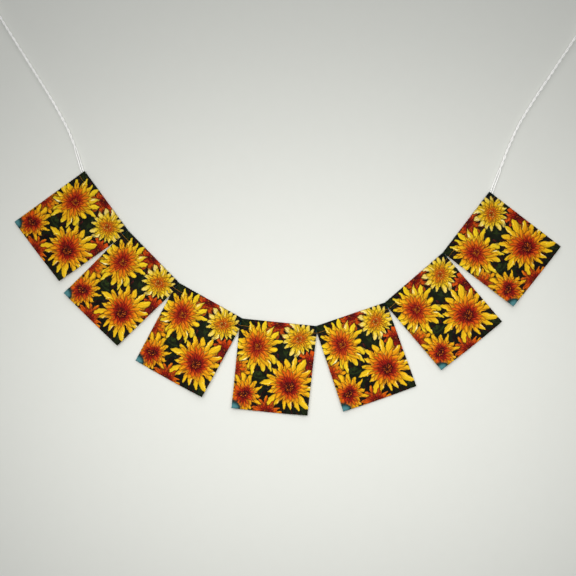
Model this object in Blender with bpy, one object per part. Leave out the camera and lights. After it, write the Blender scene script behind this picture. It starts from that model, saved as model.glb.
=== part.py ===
"""Fabric bunting: seven printed flags that hang side by side, by their hems, from one cord.

The row hangs in the X-Z plane with its printed faces towards -Y. The origin is the point inside
the left loop where a nail or hook bears. Sizes below are in millimetres unless a name says
otherwise, and MM turns them into Blender's metres.
"""

import math
from collections import namedtuple

import bmesh
import bpy
from mathutils import Vector

MM = 0.001

# Cloth of a flag
CLOTH = 1.0  # thickness
DROP = 153.0  # finished height, top fold to bottom edge
END_GAP = 0.25  # a flag stops this short of the line where it meets its neighbour
TURNED_EDGE = 15.0  # depth that the hem's turned edge reaches down the back
STITCH_DEPTH = 12.4  # depth of the seam that closes the hem
FRONT_FACE = -2.6  # depth of the printed face behind the cord's centre line, so it lies before it
HANG_BACK = 3.0  # the bottom edge leans back by this much, towards the wall
BOTTOM_BOW = 1.4  # the bottom edge's middle hangs lower than its corners by this much
SECTIONS = 10  # spans across a flag
ROW_SHARES = (1.0, 0.94, 0.84, 0.70, 0.55, 0.40, 0.26, 0.16)  # heights of the rows, as shares of DROP

# Cord, its hem channel and its ends
CORD_RADIUS = 2.1
CORD_DEPTH = 3.9  # centre line below the top fold
CHANNEL_RADIUS = 3.4  # middle of the cloth where it turns over the cord
CHANNEL_STEPS = 6
TAIL_STEP = 13.0  # spacing of the points on the free tails
BEND_REACH = 5.0  # a bend between two flags starts this far from the point where they meet
BEND_POINTS = 4
FACE_GAP = 0.3  # between a cord's end and the knot that it enters
KNOT_FORWARD = 2.3  # the knots lie on the wall, so they stand this far before the cord in the hems
LOOP_LENGTH = 34.0
LOOP_STEP = 4.0
KNOT_LENGTH = 13.0
KNOT_WRAPS = 3
KNOT_HEIGHT = 6.3  # half the knot's size front to back
KNOT_WIDENING = 1.4  # its width is more, because two strands lie side by side in it
KNOT_GROOVE = 1.5  # depth of the groove between two wraps
KNOT_TURNS = 14  # steps round the knot
TAG_REACH = 12.0  # the cut end stands out of the knot by this much
TAG_SIDES = 10

# One row for each flag, from left to right.
# slope: fall of its stretch of cord to the right, in degrees. covers: cord that its hem takes up.
# out: how far a bottom corner stands beyond square, to the right. drop: height of a side.
# lift: how far a side stands forward near its foot. curl: how far a bottom corner turns forward.
# belly: how far the middle stands forward.
Flag = namedtuple(
    "Flag",
    "slope covers left_out right_out left_drop right_drop left_lift right_lift left_curl right_curl belly",
)
FLAGS = (
    Flag(53.6, 129.1, -3.2, -0.8, 152.6, 149.0, 0.5, 3.5, 1.0, 4.0, 1.2),
    Flag(45.5, 127.8, -1.7, 1.7, 156.5, 153.6, 0.5, 3.5, 5.5, 1.5, -1.2),
    Flag(29.1, 125.8, -2.0, 4.7, 155.0, 153.0, 0.0, 3.5, 1.5, 3.0, 1.0),
    Flag(5.7, 127.3, -3.7, 0.5, 155.5, 154.6, 1.5, 2.5, 4.5, 2.0, -1.0),
    Flag(-19.0, 124.7, -3.5, 4.0, 153.7, 152.6, 3.0, 0.5, 2.5, 1.0, 1.4),
    Flag(-40.9, 130.2, -3.3, -1.6, 149.8, 154.5, 3.0, 0.5, 2.0, 2.5, -0.8),
    Flag(-52.8, 129.8, -2.0, -2.2, 149.6, 152.2, 2.0, 1.5, 5.5, 2.0, 1.2),
)

# How far below the top fold the sides of two neighbours part, at each place where flags meet.
# The first and last are the row's free ends.
PARTINGS = (0.0, 32.0, 25.0, 20.0, 10.5, 10.0, 3.0, 0.0)

# The free tails, from the hem's mouth to the knot: across and up from the flag's top corner.
LEFT_TAIL = (
    (-4.9, 1.4), (-6.6, 6.2), (-9.3, 15.4), (-16.2, 37.9), (-27.3, 66.9), (-43.2, 98.3),
    (-64.6, 135.1), (-88.3, 172.8), (-118.8, 221.1), (-156.9, 281.5),
)
RIGHT_TAIL = (
    (4.8, 1.6), (6.5, 6.3), (9.8, 15.3), (17.0, 34.4), (30.8, 70.9), (47.7, 109.0),
    (79.5, 162.0), (105.9, 202.0), (129.6, 237.9), (154.5, 275.7),
)

# Half of a loop's outline, from the knot to its far end: distance from the knot, and half width.
LOOP_OUTLINE = ((0.0, 2.5), (1.6, 2.6), (7.0, 4.8), (14.0, 7.8), (22.0, 8.8), (29.5, 6.6))

# Colours as red, green, blue
PRINT_COLOUR = (0.52, 0.27, 0.05)
CORD_COLOUR = (0.86, 0.86, 0.83)


def clear_scene():
    for item in list(bpy.data.objects):
        bpy.data.objects.remove(item, do_unlink=True)


def finish(name, colour, roughness):
    """A plain Principled material of its own for one sub-part."""
    material = bpy.data.materials.new(name)
    material.use_nodes = True
    shader = material.node_tree.nodes["Principled BSDF"]
    shader.inputs["Base Color"].default_value = (*colour, 1.0)
    shader.inputs["Roughness"].default_value = roughness
    shader.inputs["Metallic"].default_value = 0.0
    return material


def add_object(name, data, parent, location=(0.0, 0.0, 0.0), turn=0.0):
    """Places data in the scene; turn is about Y, in radians."""
    item = bpy.data.objects.new(name, data)
    bpy.context.scene.collection.objects.link(item)
    item.parent = parent
    item.location = location
    item.rotation_euler = (0.0, turn, 0.0)
    return item


def mix(first, second, share):
    return first + (second - first) * share


def on_wall(across, up):
    """A point in the plane of the row."""
    return Vector((across, 0.0, up))


def along(slope):
    """Unit vector down a stretch of cord that falls by slope degrees to the right."""
    angle = math.radians(slope)
    return on_wall(math.cos(angle), -math.sin(angle))


def square_to(slope):
    """Unit vector from a flag's top fold to its foot."""
    angle = math.radians(slope)
    return on_wall(-math.sin(angle), -math.cos(angle))


def smooth(points, step):
    """Points about a step apart on the smooth curve through the given ones."""
    gaps = [(b - a).length for a, b in zip(points, points[1:])]
    ways = [(b - a) / gap for a, b, gap in zip(points, points[1:], gaps)]
    tangents = [ways[0]]
    for i in range(1, len(points) - 1):
        before, after = gaps[i - 1], gaps[i]
        tangents.append((ways[i - 1] * after + ways[i] * before) / (before + after))
    tangents.append(ways[-1])
    curve = [points[0]]
    for i, gap in enumerate(gaps):
        count = max(1, round(gap / step))
        for k in range(1, count + 1):
            t = k / count
            curve.append(
                points[i] * (2 * t**3 - 3 * t**2 + 1)
                + tangents[i] * gap * (t**3 - 2 * t**2 + t)
                + points[i + 1] * (3 * t**2 - 2 * t**3)
                + tangents[i + 1] * gap * (t**3 - t**2)
            )
    return curve


def flag_corners():
    """Where the flags meet on the top line, with both outer corners; the first is at zero."""
    found = [on_wall(0.0, 0.0)]
    for flag in FLAGS:
        found.append(found[-1] + along(flag.slope) * flag.covers)
    return found


def bend(corner, before, after):
    """The cord's turn between two flags."""
    down_before, down_after = square_to(before.slope), square_to(after.slope)
    middle = corner + (down_before + down_after) * (CORD_DEPTH / (1 + down_before.dot(down_after)))
    start = middle - along(before.slope) * BEND_REACH
    end = middle + along(after.slope) * BEND_REACH
    points = []
    for k in range(BEND_POINTS):
        t = k / (BEND_POINTS - 1)
        points.append(start * (1 - t) ** 2 + middle * (2 * t * (1 - t)) + end * t**2)
    return points


def tail(corner, flag, inwards, offsets):
    """A free tail from inside its hem to its knot. inwards is 1 at the left end and -1 at the right."""
    mouth = corner + square_to(flag.slope) * CORD_DEPTH
    inside = mouth + along(flag.slope) * (BEND_REACH * inwards)
    points = smooth([inside, mouth] + [corner + on_wall(*offset) for offset in offsets], TAIL_STEP)
    last = len(points) - 1
    for k, point in enumerate(points):
        share = k / last
        point.y -= KNOT_FORWARD * (3 * share**2 - 2 * share**3)
    return points


def cord_route(corners):
    """The cord's centre line from the left knot, through all the hems, to the right knot."""
    left = tail(corners[0], FLAGS[0], 1, LEFT_TAIL)
    right = tail(corners[-1], FLAGS[-1], -1, RIGHT_TAIL)
    route = left[::-1]
    for corner, before, after in zip(corners[1:-1], FLAGS, FLAGS[1:]):
        route += bend(corner, before, after)
    return route + right


def tube(name, points, parent, location=(0.0, 0.0, 0.0), turn=0.0):
    """A closed round tube along a polyline of points in millimetres."""
    curve = bpy.data.curves.new(name, "CURVE")
    curve.dimensions = "3D"
    curve.resolution_u = 1
    curve.bevel_depth = CORD_RADIUS * MM
    curve.bevel_resolution = 2
    curve.use_fill_caps = True
    spline = curve.splines.new("POLY")
    spline.points.add(len(points) - 1)
    for target, point in zip(spline.points, points):
        target.co = (*(point * MM), 1.0)
    curve.materials.append(finish(name + "_cotton", CORD_COLOUR, 0.85))
    return add_object(name, curve, parent, location, turn)


def hem_line():
    """The middle of the cloth as it turns over the cord, front seam to back seam: down and back."""
    line = [(STITCH_DEPTH, FRONT_FACE + CLOTH / 2), (8.4, -2.8)]
    for k in range(CHANNEL_STEPS + 1):
        angle = math.pi * k / CHANNEL_STEPS
        line.append(
            (CORD_DEPTH - CHANNEL_RADIUS * math.sin(angle), -CHANNEL_RADIUS * math.cos(angle))
        )
    return line + [(7.1, 2.9), (9.9, 1.2), (STITCH_DEPTH, FRONT_FACE + CLOTH * 1.5)]


def offset_line(line, distance):
    """The line moved sideways, away from the cord where distance is above zero."""
    moved = []
    for i, (down, back) in enumerate(line):
        before, after = line[max(i - 1, 0)], line[min(i + 1, len(line) - 1)]
        way = Vector((after[0] - before[0], after[1] - before[1])).normalized()
        moved.append((down - way.y * distance, back + way.x * distance))
    return moved


def flag_section():
    """The cut through a flag: its points as (down, back) and its faces as point numbers."""
    depths = [DROP * share for share in ROW_SHARES] + [TURNED_EDGE]
    front = [(depth, FRONT_FACE) for depth in depths]
    rear = [(depth, FRONT_FACE + CLOTH) for depth in depths]
    line = hem_line()
    outer = offset_line(line, CLOTH / 2)
    inner = offset_line(line, -CLOTH / 2)[1:-1]
    seam = [(STITCH_DEPTH - 1.4, FRONT_FACE + CLOTH)]
    turned = [(TURNED_EDGE, FRONT_FACE + CLOTH * 2)]
    points = []
    starts = []
    for group in (front, rear, outer, inner, seam, turned):
        starts.append(len(points))
        points += group
    front_at, rear_at, outer_at, inner_at, seam_at, turned_at = starts
    rows, turns = len(depths), len(line)
    faces = [(front_at + i, front_at + i + 1, rear_at + i + 1, rear_at + i) for i in range(rows - 1)]
    faces.append(
        (front_at + rows - 1, outer_at, seam_at, outer_at + turns - 1, turned_at, rear_at + rows - 1)
    )
    faces.append((outer_at, outer_at + 1, inner_at, seam_at))
    for k in range(1, turns - 2):
        faces.append((outer_at + k, outer_at + k + 1, inner_at + k, inner_at + k - 1))
    faces.append((outer_at + turns - 2, outer_at + turns - 1, seam_at, inner_at + turns - 3))
    return points, faces


def side_out(junction, foot, down):
    """How far a side stands out beyond its stretch of cord. Two neighbours touch down to their parting."""
    parting = PARTINGS[junction]
    lean = 0.0
    if parting:
        lean = math.tan(math.radians(FLAGS[junction - 1].slope - FLAGS[junction].slope) / 2)
    if down < parting:
        return down * lean - END_GAP
    return mix(parting * lean - END_GAP, foot, (down - parting) / (DROP - parting))


def hung_point(number, share, down, back):
    """Where a point of the section lies at a share of the flag's width, in the flag's own frame."""
    flag = FLAGS[number]
    fall = down / DROP
    left = -side_out(number, -flag.left_out, down)
    right = flag.covers + side_out(number + 1, flag.right_out, down)
    side_drop = mix(flag.left_drop, flag.right_drop, share)
    bow = BOTTOM_BOW * 4 * share * (1 - share)
    low = down + (side_drop - DROP + bow) * fall**2
    forward = (flag.left_lift * (1 - share) ** 3 + flag.right_lift * share**3) * fall**1.5
    forward += flag.left_curl * ((1 - share) * fall) ** 4 + flag.right_curl * (share * fall) ** 4
    forward += flag.belly * math.sin(math.pi * share) * math.sin(math.pi * min(fall, 1.0))
    return Vector((mix(left, right, share), back + HANG_BACK * fall**2 - forward, -low)) * MM


def flag_mesh(name, number):
    """One flag: its section drawn along the cord, span by span, as one closed cloth with its hem."""
    points, faces = flag_section()
    model = bmesh.new()
    place = model.verts.layers.int.new("section_point")
    verts = []
    for i, (down, back) in enumerate(points):
        vert = model.verts.new(hung_point(number, 0.0, down, back))
        vert[place] = i
        verts.append(vert)
    region = [model.faces.new([verts[i] for i in face]) for face in faces]
    for span in range(1, SECTIONS + 1):
        pulled = bmesh.ops.extrude_face_region(model, geom=region)["geom"]
        for vert in pulled:
            if isinstance(vert, bmesh.types.BMVert):
                vert.co = hung_point(number, span / SECTIONS, *points[vert[place]])
        if span > 1:
            bmesh.ops.delete(model, geom=region, context="FACES")
        region = [face for face in pulled if isinstance(face, bmesh.types.BMFace)]
    bmesh.ops.recalc_face_normals(model, faces=model.faces[:])
    mesh = bpy.data.meshes.new(name)
    model.to_mesh(mesh)
    model.free()
    mesh.shade_smooth()
    mesh.set_sharp_from_angle(angle=math.radians(40))
    mesh.materials.append(finish(name + "_cloth", PRINT_COLOUR, 0.75))
    return mesh


def knot_profile():
    """Half of the knot's outline: distance from its axis, and height along it."""
    wrap = KNOT_LENGTH / KNOT_WRAPS
    valley = KNOT_HEIGHT - KNOT_GROOVE
    shoulder = KNOT_HEIGHT - KNOT_GROOVE * 0.25
    profile = [(0.0, 0.0), (valley, 0.0)]
    for k in range(KNOT_WRAPS):
        foot = k * wrap
        profile += [
            (shoulder, foot + wrap * 0.22),
            (KNOT_HEIGHT, foot + wrap * 0.5),
            (shoulder, foot + wrap * 0.78),
            (valley, foot + wrap),
        ]
    return profile + [(0.0, KNOT_LENGTH)]


def knot_mesh(name):
    """Wraps of cord round the two strands of the loop, as one turned and widened barrel."""
    model = bmesh.new()
    verts = [model.verts.new(Vector((radius, 0.0, height)) * MM) for radius, height in knot_profile()]
    edges = [model.edges.new(pair) for pair in zip(verts, verts[1:])]
    bmesh.ops.spin(
        model, geom=verts + edges, cent=(0, 0, 0), axis=(0, 0, 1),
        angle=math.tau, steps=KNOT_TURNS, use_merge=True,
    )
    bmesh.ops.remove_doubles(model, verts=model.verts[:], dist=0.01 * MM)
    bmesh.ops.scale(model, vec=(KNOT_WIDENING, 1.0, 1.0), verts=model.verts[:])
    bmesh.ops.recalc_face_normals(model, faces=model.faces[:])
    mesh = bpy.data.meshes.new(name)
    model.to_mesh(mesh)
    model.free()
    mesh.materials.append(finish(name + "_cotton", CORD_COLOUR, 0.85))
    return mesh


def tag_mesh(name, side):
    """The cord's cut end beside the standing cord; it starts inside the knot."""
    start = Vector((side * 3.6, 0.0, KNOT_LENGTH * 0.4)) * MM
    end = Vector((side * 9.4, 0.0, -TAG_REACH)) * MM
    model = bmesh.new()
    bmesh.ops.create_cone(
        model, cap_ends=True, segments=TAG_SIDES, radius1=CORD_RADIUS * MM,
        radius2=CORD_RADIUS * MM, depth=(end - start).length,
    )
    turn = Vector((0.0, 0.0, 1.0)).rotation_difference(end - start).to_matrix()
    bmesh.ops.rotate(model, cent=(0, 0, 0), matrix=turn, verts=model.verts[:])
    bmesh.ops.translate(model, vec=(start + end) / 2, verts=model.verts[:])
    mesh = bpy.data.meshes.new(name)
    model.to_mesh(mesh)
    model.free()
    return mesh


def loop_points():
    """The loop's centre line in the knot's frame: out on one side, round, and back on the other."""
    foot = KNOT_LENGTH + FACE_GAP
    sides = [(half, foot + reach) for reach, half in LOOP_OUTLINE]
    outline = [(-half, height) for half, height in sides]
    outline += [(0.0, foot + LOOP_LENGTH)] + sides[::-1]
    return smooth([Vector((across, 0.0, height)) for across, height in outline], LOOP_STEP)


def way_out(route):
    """Direction along the wall in which the route ends."""
    way = route[-1] - route[-2]
    return on_wall(way.x, way.z).normalized()


def cord_end(side_name, route, tag_side, parent):
    """The knot and loop at one end of the cord; route runs towards that end."""
    way = way_out(route)
    place = (route[-1] + way * FACE_GAP) * MM
    turn = math.atan2(way.x, way.z)
    knot = add_object(side_name + "_knot", knot_mesh(side_name + "_knot"), parent, place, turn)
    tag = add_object(side_name + "_tag", tag_mesh(side_name + "_tag", tag_side), parent, place, turn)
    tag.hide_render = True
    tag.display_type = "WIRE"
    joined = knot.modifiers.new("cut end", "BOOLEAN")
    joined.operation = "UNION"
    joined.solver = "EXACT"
    joined.object = tag
    tube(side_name + "_loop", loop_points(), parent, place, turn)


def bearing_point(route):
    """The point inside a loop's far end that the nail or hook holds."""
    reach = FACE_GAP + KNOT_LENGTH + FACE_GAP + LOOP_LENGTH - CORD_RADIUS
    return route[-1] + way_out(route) * reach


def build():
    clear_scene()
    corners = flag_corners()
    home = bearing_point(cord_route(corners)[::-1])
    corners = [corner - home for corner in corners]
    route = cord_route(corners)
    row = bpy.data.objects.new("bunting", None)
    bpy.context.scene.collection.objects.link(row)
    for i, flag in enumerate(FLAGS):
        name = f"flag_{i + 1}"
        add_object(name, flag_mesh(name, i), row, corners[i] * MM, math.radians(flag.slope))
    tube("cord", route, row)
    cord_end("left", route[::-1], -1, row)
    cord_end("right", route, 1, row)


build()
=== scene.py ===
"""Fabric bunting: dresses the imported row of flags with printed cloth, twisted cord and a pale wall.

The file is laid out as an add-on and is run as a script. Lengths in the tables are millimetres in
the row's frame unless a name says otherwise, and MM turns them into metres.
"""

import math
from collections import namedtuple

import bmesh
import bpy
from bpy.props import FloatProperty, FloatVectorProperty, IntProperty, PointerProperty
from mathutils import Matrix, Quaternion, Vector, noise


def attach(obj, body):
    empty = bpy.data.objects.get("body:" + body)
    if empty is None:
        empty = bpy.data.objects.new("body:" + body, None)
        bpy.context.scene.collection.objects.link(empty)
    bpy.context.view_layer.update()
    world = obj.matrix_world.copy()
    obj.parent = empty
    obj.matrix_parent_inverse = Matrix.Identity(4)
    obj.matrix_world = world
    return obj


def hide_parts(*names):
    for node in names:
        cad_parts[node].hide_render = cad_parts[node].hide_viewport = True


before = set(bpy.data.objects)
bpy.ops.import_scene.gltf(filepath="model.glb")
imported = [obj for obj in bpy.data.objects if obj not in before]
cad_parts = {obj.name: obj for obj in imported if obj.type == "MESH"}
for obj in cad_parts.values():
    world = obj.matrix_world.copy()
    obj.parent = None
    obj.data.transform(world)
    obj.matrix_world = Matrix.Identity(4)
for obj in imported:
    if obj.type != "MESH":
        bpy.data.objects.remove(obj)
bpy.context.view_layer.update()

bl_info = {
    "name": "Fabric bunting",
    "version": (1, 0, 0),
    "blender": (4, 5, 0),
    "location": "3D View > Sidebar > Bunting",
    "description": "Makes a row of printed cloth flags on a twisted cord, with its wall and light",
    "category": "Object",
}

MM = 0.001

# The row as it hangs, in the words and sizes of the part's source, but for the gap that each
# cloth's side leaves, which the source makes wider
DROP = 153.0
END_GAP = 0.05
TURNED_EDGE = 15.0
STITCH_DEPTH = 12.4
HANG_BACK = 3.0
BOTTOM_BOW = 1.4
CORD_DEPTH = 3.9
CORD_DIAMETER = 4.2
TAIL_STEP = 13.0
BEND_REACH = 5.0
BEND_POINTS = 4
FACE_GAP = 0.3
KNOT_FORWARD = 2.3
LOOP_LENGTH = 34.0
KNOT_LENGTH = 13.0
TAG_REACH = 12.0

# How the two strands lie: parted and side by side where they go into the first and last hems
STRAND_SPREAD = 1.2  # distance of a strand's middle from the cord's, as a share of its radius
OPEN_EXTRA = 0.6  # how far the parted strands stand out beyond the cord's own width
OPEN_LENGTH = 36.0  # how far from its hem the cord stays parted
OPEN_FADE = 26.0  # how much further it takes to close, and how far it takes inside the hem
STRAND_STEP = 1.1
TUBE_RESOLUTION = 3
FIBRE_PITCH = 1.1

Flag = namedtuple(
    "Flag",
    "slope covers left_out right_out left_drop right_drop left_lift right_lift left_curl right_curl"
    " belly",
)
FLAGS = (
    Flag(53.6, 129.1, -3.2, -0.8, 152.6, 149.0, 0.5, 3.5, 1.0, 4.0, 1.2),
    Flag(45.5, 127.8, -1.7, 1.7, 156.5, 153.6, 0.5, 3.5, 5.5, 1.5, -1.2),
    Flag(29.1, 125.8, -2.0, 4.7, 155.0, 153.0, 0.0, 3.5, 1.5, 3.0, 1.0),
    Flag(5.7, 127.3, -3.7, 0.5, 155.5, 154.6, 1.5, 2.5, 4.5, 2.0, -1.0),
    Flag(-19.0, 124.7, -3.5, 4.0, 153.7, 152.6, 3.0, 0.5, 2.5, 1.0, 1.4),
    Flag(-40.9, 130.2, -3.3, -1.6, 149.8, 154.5, 3.0, 0.5, 2.0, 2.5, -0.8),
    Flag(-52.8, 129.8, -2.0, -2.2, 149.6, 152.2, 2.0, 1.5, 5.5, 2.0, 1.2),
)
PARTINGS = (0.0, 32.0, 25.0, 20.0, 10.5, 10.0, 3.0, 0.0)
LEFT_TAIL = (
    (-4.9, 1.4), (-6.6, 6.2), (-9.3, 15.4), (-16.2, 37.9), (-27.3, 66.9), (-43.2, 98.3),
    (-64.6, 135.1), (-88.3, 172.8), (-118.8, 221.1), (-156.9, 281.5),
)
RIGHT_TAIL = (
    (4.8, 1.6), (6.5, 6.3), (9.8, 15.3), (17.0, 34.4), (30.8, 70.9), (47.7, 109.0),
    (79.5, 162.0), (105.9, 202.0), (129.6, 237.9), (154.5, 275.7),
)
LOOP_OUTLINE = ((0.0, 2.5), (1.6, 2.6), (7.0, 4.8), (14.0, 7.8), (22.0, 8.8), (29.5, 6.6))

# The cloth as it is drawn here: its cut, and its middle line over the cord, down and back
CUT_WIDTH = 131.5
CLOTH_LENGTH = 174.0
HEM_FRONT = ((12.4, -2.1), (8.6, -2.75))
HEM_BACK = ((7.2, 3.0), (9.8, 1.3), (12.4, -1.58), (TURNED_EDGE, -1.56))
HEM_RADIUS = 3.55
HEM_STEP = 0.9
TURN_STEPS = 6
# How ragged its sides and how frayed its bottom edge are, and the puckers' height and reach
RAGGED_SIDE = 0.22
FRAYED_EDGE = 0.25
PUCKER_HEIGHT = 0.225
PUCKER_REACH = 7.0
# The hem's seam: the lengths up the cloth at which it goes through, its stitches, how far it
# strays, and how far from it the cloth is pulled in
SEAMS = (DROP - STITCH_DEPTH, 171.4)
STITCH_PITCH = 2.6
STITCH_LENGTH = 2.0
STITCH_WIDTH = 0.5
SEAM_STRAYS = 0.8
SEAM_PULLS = 1.6

# The knots: turns of their wraps, half their width and depth, the heights at which they start and
# end, and half the gap of the loop's legs
WRAP_TURNS = 2.6
WRAP_STEPS = 40
WRAP_WIDTH = 6.3
WRAP_DEPTH = 3.95
WRAP_HEIGHTS = (KNOT_LENGTH - 2.4, 2.6)
LEG_GAP = 2.5

# The photograph's frame, in metres from the left loop's bearing point
PICTURE_WIDTH = 0.991
PICTURE_CENTRE = (0.5357, -0.5237)
CAMERA_TURN = 3.0
SENSOR_WIDTH = 36.0

# The wall, in metres: its top, the floor's level and front edge, the cove between them, its left
# side and its length
WALL_TOP = 2.5
FLOOR_LEVEL = -2.2
FLOOR_FRONT = -5.0
COVE = 0.5
COVE_STEPS = 12
WALL_LEFT = -4.5
WALL_LENGTH = 10.0
WALL_SPECKLE = 0.02

# Each lamp's name, its place from the middle of the picture, how high it points there, its width
# and height, how wide it spreads in degrees, and its share of the lamps' power
LAMPS = (
    ("front_lamp", (0.03, -0.95, 0.03), -0.295, (1.17, 0.6), 106.0, 0.54),
    ("upper_lamp", (0.0, -0.90, 0.90), 0.0, (1.6, 0.9), 180.0, 0.67),
    ("back_lamp", (0.0, 1.10, -0.10), 0.0, (1.4, 0.9), 180.0, 1.2),
)


def tone(red, green, blue):
    """A colour that is given as screen values from 0 to 255, as Blender's linear values."""
    return tuple((value / 255) ** 2.2 for value in (red, green, blue))


# What shows of the cloth under its print, and on its frayed edge
RAW_CLOTH = tone(226, 216, 196)
RAW_FRAY = tone(206, 186, 150)
DYED_FRAY = tone(120, 80, 36)


def paint(name, description, *screen):
    """A colour that can be set, with the screen values that it starts from."""
    return FloatVectorProperty(
        name=name, description=description, default=tone(*screen), subtype="COLOR", min=0.0, max=1.0,
    )


def size(name, description, default, least, most, unit=MM):
    """A length that can be set, in millimetres unless a unit is given."""
    return FloatProperty(
        name=name, description=description, default=default * unit, min=least * unit,
        max=most * unit, subtype="DISTANCE", unit="LENGTH",
    )


class BuntingClothSettings(bpy.types.PropertyGroup):
    """Sizes and colours of the printed cloth."""

    thickness: size("Thickness", "Thickness of the cloth", 0.45, 0.2, 1.0)
    columns: IntProperty(
        name="Columns", description="Spans of cloth across one flag", default=60, min=20, max=120,
    )
    row_height: size("Row height", "Height of one span of cloth down a flag", 2.6, 1.0, 10.0)
    ripple: size("Ripple", "Height of the soft waves in the cloth", 0.8, 0.0, 3.0)
    thread_pitch: FloatProperty(
        name="Thread pitch", description="Distance between two threads of the weave, in millimetres",
        default=0.42, min=0.2, max=1.0,
    )
    lemon: paint("Lemon", "Lightest yellow of the petals", 243, 206, 34)
    golden: paint("Golden", "Main yellow of the petals", 240, 158, 11)
    orange: paint("Orange", "Orange of the petals' feet", 222, 88, 10)
    red: paint("Red", "Red of the flowers' hearts", 172, 28, 9)
    maroon: paint("Maroon", "Darkest red", 74, 9, 12)
    cream: paint("Cream", "Lightest strokes on the petals", 250, 236, 178)
    leaf: paint("Leaf", "Green of the leaves", 48, 64, 24)
    blue_green: paint("Blue-green", "Blue-green strokes between the flowers", 22, 84, 84)
    pale_teal: paint("Pale teal", "Washed strokes in a bottom corner", 84, 140, 146)
    thread: paint("Thread", "Sewing thread of the hem's seam", 176, 118, 34)
    ground: paint("Ground", "Dark colour behind the flowers", 9, 13, 8)


class BuntingCordSettings(bpy.types.PropertyGroup):
    """Sizes and colour of the twisted cord."""

    strand_radius: size("Strand radius", "Radius of one of the two strands", 0.95, 0.3, 3.0)
    lay: size("Lay", "Length of one full turn of the strands", 22.0, 5.0, 100.0)
    colour: FloatVectorProperty(
        name="Colour", description="Colour of the cotton", default=(0.98, 0.98, 0.955),
        subtype="COLOR", min=0.0, max=1.0,
    )


class BuntingStageSettings(bpy.types.PropertyGroup):
    """Wall, light and camera."""

    camera_distance: size("Camera distance", "From the row to the camera", 1.6, 0.5, 5.0, unit=1.0)
    wall_depth: size("Wall", "From the cord to the wall behind it", 6.6, 0.0, 200.0)
    wall_colour: FloatVectorProperty(
        name="Wall colour", description="Paint of the wall", default=(0.612, 0.624, 0.596),
        subtype="COLOR", min=0.0, max=1.0,
    )
    sky: FloatProperty(
        name="Sky", description="Strength of the light from all round", default=0.30,
        min=0.0, max=5.0,
    )
    lamp: FloatProperty(
        name="Lamps", description="Power that the lamps share out", default=9.4,
        min=0.0, max=500.0, subtype="POWER", unit="POWER",
    )


def mix(first, second, share):
    return first + (second - first) * share


def ease(value, low, high):
    """A soft step from 0 at low to 1 at high."""
    share = min(max((value - low) / (high - low), 0.0), 1.0)
    return share * share * (3 - 2 * share)


def on_wall(across, up):
    return Vector((across, 0.0, up))


def along(slope):
    """Direction along a flag's hem."""
    angle = math.radians(slope)
    return on_wall(math.cos(angle), -math.sin(angle))


def square_to(slope):
    """Direction down a flag."""
    angle = math.radians(slope)
    return on_wall(-math.sin(angle), -math.cos(angle))


def smooth(points, step):
    """Points about a step apart on the smooth curve through the given ones."""
    gaps = [(b - a).length for a, b in zip(points, points[1:])]
    ways = [(b - a) / gap for a, b, gap in zip(points, points[1:], gaps)]
    tangents = [ways[0]]
    for i in range(1, len(points) - 1):
        before, after = gaps[i - 1], gaps[i]
        tangents.append((ways[i - 1] * after + ways[i] * before) / (before + after))
    tangents.append(ways[-1])
    curve = [points[0]]
    for i, gap in enumerate(gaps):
        count = max(1, round(gap / step))
        for k in range(1, count + 1):
            t = k / count
            curve.append(
                points[i] * (2 * t**3 - 3 * t**2 + 1)
                + tangents[i] * gap * (t**3 - 2 * t**2 + t)
                + points[i + 1] * (3 * t**2 - 2 * t**3)
                + tangents[i + 1] * gap * (t**3 - t**2)
            )
    return curve


def bend(corner, before, after):
    """The cord's bend under the corner between two flags."""
    down_before, down_after = square_to(before.slope), square_to(after.slope)
    middle = corner + (down_before + down_after) * (CORD_DEPTH / (1 + down_before.dot(down_after)))
    start = middle - along(before.slope) * BEND_REACH
    end = middle + along(after.slope) * BEND_REACH
    points = []
    for k in range(BEND_POINTS):
        t = k / (BEND_POINTS - 1)
        points.append(start * (1 - t) ** 2 + middle * (2 * t * (1 - t)) + end * t**2)
    return points


def tail(corner, flag, inwards, offsets):
    """The cord from just inside an end hem to its knot."""
    mouth = corner + square_to(flag.slope) * CORD_DEPTH
    inside = mouth + along(flag.slope) * (BEND_REACH * inwards)
    points = smooth([inside, mouth] + [corner + on_wall(*offset) for offset in offsets], TAIL_STEP)
    last = len(points) - 1
    for k, point in enumerate(points):
        point.y -= KNOT_FORWARD * ease(k, 0, last)
    return points


def cord_route(corners):
    """The cord's centre line from the left knot, through all the hems, to the right knot."""
    left = tail(corners[0], FLAGS[0], 1, LEFT_TAIL)
    right = tail(corners[-1], FLAGS[-1], -1, RIGHT_TAIL)
    route = left[::-1]
    for corner, before, after in zip(corners[1:-1], FLAGS, FLAGS[1:]):
        route += bend(corner, before, after)
    return route + right


def way_out(route):
    """Direction along the wall in which the route ends."""
    way = route[-1] - route[-2]
    return on_wall(way.x, way.z).normalized()


def row_layout():
    """The flags' corners on the top line and the cord's route, from the left loop's bearing point."""
    corners = [on_wall(0.0, 0.0)]
    for flag in FLAGS:
        corners.append(corners[-1] + along(flag.slope) * flag.covers)
    route = cord_route(corners)[::-1]
    reach = FACE_GAP + KNOT_LENGTH + FACE_GAP + LOOP_LENGTH - CORD_DIAMETER / 2
    home = route[-1] + way_out(route) * reach
    corners = [corner - home for corner in corners]
    return corners, cord_route(corners)


CORNERS, ROUTE = row_layout()


def sign(operation):
    """The two methods for a sign: with the wire on its left, and on its right."""
    return (
        lambda wire, other: wire.add.math(operation, wire, other),
        lambda wire, other: wire.add.math(operation, other, wire),
    )


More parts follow.
